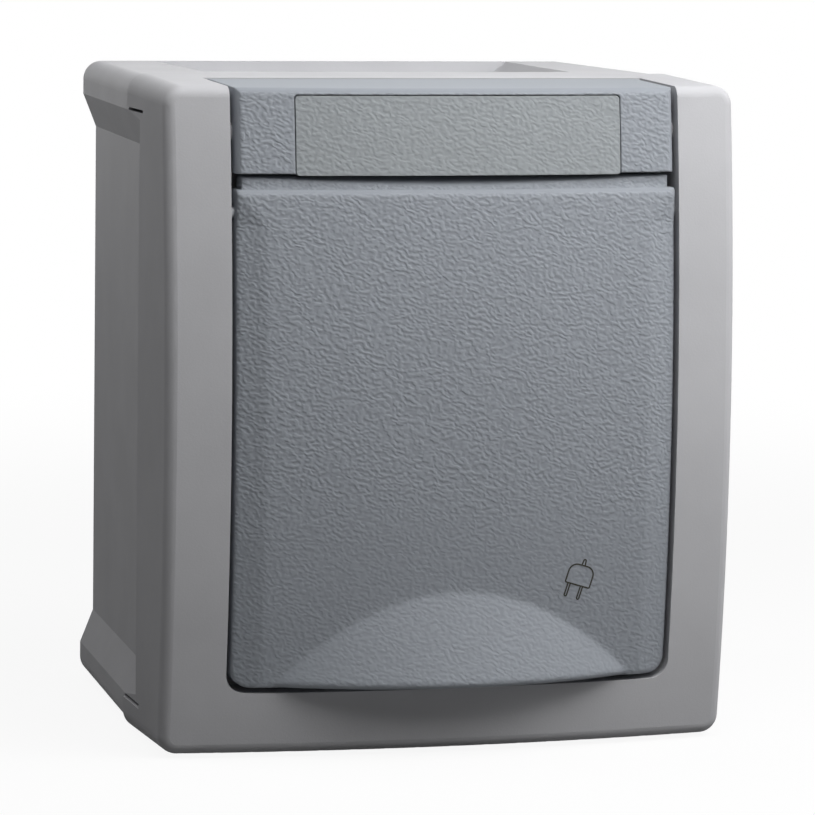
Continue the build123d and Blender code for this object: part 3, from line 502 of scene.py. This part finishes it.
# Floor and world: white where they are seen directly, dim as a source of light
def seen_directly(tree):
    """1 for camera, mirror and see-through rays."""
    path = tree.nodes.new("ShaderNodeLightPath")
    seen = maths(tree, "MAXIMUM", path.outputs["Is Camera Ray"], path.outputs["Is Glossy Ray"])
    return maths(tree, "MAXIMUM", seen, path.outputs["Is Transmission Ray"])


def mix(tree, factor, one, two):
    """Shader blended between two others."""
    node = tree.nodes.new("ShaderNodeMixShader")
    tree.links.new(factor, node.inputs["Fac"])
    tree.links.new(one, node.inputs[1])
    tree.links.new(two, node.inputs[2])
    return node.outputs["Shader"]


def diffuse(tree, value):
    node = tree.nodes.new("ShaderNodeBsdfDiffuse")
    node.inputs["Color"].default_value = grey(value)
    return node.outputs["BSDF"]


def background(tree, colour, strength):
    node = tree.nodes.new("ShaderNodeBackground")
    node.inputs["Color"].default_value = colour
    node.inputs["Strength"].default_value = strength
    return node.outputs["Background"]


floor_z = cad_box[0].z
floor_corners = [
    (-FLOOR_HALF, -FLOOR_HALF, floor_z),
    (FLOOR_HALF, -FLOOR_HALF, floor_z),
    (FLOOR_HALF, FLOOR_HALF, floor_z),
    (-FLOOR_HALF, FLOOR_HALF, floor_z),
]
floor_mesh = bpy.data.meshes.new("floor")
floor_mesh.from_pydata(floor_corners, [], [(0, 1, 2, 3)])
floor = bpy.data.objects.new("floor", floor_mesh)
bpy.context.scene.collection.objects.link(floor)

floor_material = bpy.data.materials.new("pale_floor")
floor_material.use_nodes = True
floor_tree = floor_material.node_tree
floor_tree.nodes.clear()
floor_seen = seen_directly(floor_tree)
lit = mix(floor_tree, floor_seen, diffuse(floor_tree, FLOOR_BOUNCE), diffuse(floor_tree, FLOOR_PAPER))
glow = floor_tree.nodes.new("ShaderNodeEmission")
glow.inputs["Strength"].default_value = WHITE_STRENGTH
# Far from the object the floor goes over into plain white
reach = floor_tree.nodes.new("ShaderNodeVectorMath")
reach.operation = "LENGTH"
floor_coords = floor_tree.nodes.new("ShaderNodeTexCoord")
floor_tree.links.new(floor_coords.outputs["Object"], reach.inputs[0])
fade = map_range(floor_tree, reach.outputs["Value"], FADE_REACH, FADE_WHITE)
whiteness = maths(floor_tree, "MULTIPLY", floor_seen, fade)
floor_shader = mix(floor_tree, whiteness, lit, glow.outputs["Emission"])
floor_output = floor_tree.nodes.new("ShaderNodeOutputMaterial")
floor_tree.links.new(floor_shader, floor_output.inputs["Surface"])
floor_mesh.materials.append(floor_material)

world = bpy.data.worlds.new("studio")
bpy.context.scene.world = world
world.use_nodes = True
world_tree = world.node_tree
world_tree.nodes.clear()
room = background(world_tree, ROOM_COLOUR, ROOM_STRENGTH)
white = background(world_tree, grey(1), WHITE_STRENGTH)
world_shader = mix(world_tree, seen_directly(world_tree), room, white)
world_output = world_tree.nodes.new("ShaderNodeOutputWorld")
world_tree.links.new(world_shader, world_output.inputs["Surface"])


def softbox(name, place, target, width, height, watts):
    """Rectangular lamp that faces a target."""
    light = bpy.data.lights.new(name, "AREA")
    light.shape = "RECTANGLE"
    light.size = width
    light.size_y = height
    light.energy = watts
    lamp = bpy.data.objects.new(name, light)
    lamp.location = place
    lamp.rotation_mode = "QUATERNION"
    lamp.rotation_quaternion = (Vector(target) - Vector(place)).to_track_quat("-Z", "Y")
    bpy.context.scene.collection.objects.link(lamp)


softbox("key_above", (0.01, -0.14, 0.155), (0, -0.04, 0), 0.16, 0.16, 0.182)
softbox("key_front", (0.09, -0.15, 0.17), (0, -0.055, 0), 0.16, 0.16, 0.16)
softbox("key_right", (0.20, -0.12, 0.125), (0, -0.04, 0), 0.16, 0.16, 0.25)
softbox("fill_left", (-0.15, 0.01, 0.18), (-0.03, -0.03, 0), 0.08, 0.08, 0.088)
softbox("fill_front", (-0.05, -0.45, 0.02), (0, -0.05, -0.01), 0.3, 0.3, 0.065)
softbox("fill_back", (0.05, 0.5, 0.045), (0, 0, 0), 0.3, 0.1, 1.0)

camera_data = bpy.data.cameras.new("camera")
camera_data.sensor_width = SENSOR_WIDTH
camera_data.lens = CAMERA_LENS
camera_data.clip_start = CLIP_START
camera_data.clip_end = CLIP_END
camera = bpy.data.objects.new("camera", camera_data)
forward = Vector(CAMERA_FORWARD).normalized()
right = forward.cross(Vector(CAMERA_UP)).normalized()
upward = right.cross(forward)
camera.matrix_world = Matrix((right, upward, -forward)).transposed().to_4x4()
camera.location = CAMERA_PLACE
bpy.context.scene.collection.objects.link(camera)
bpy.context.scene.camera = camera
bpy.context.scene.view_settings.view_transform = "Standard"
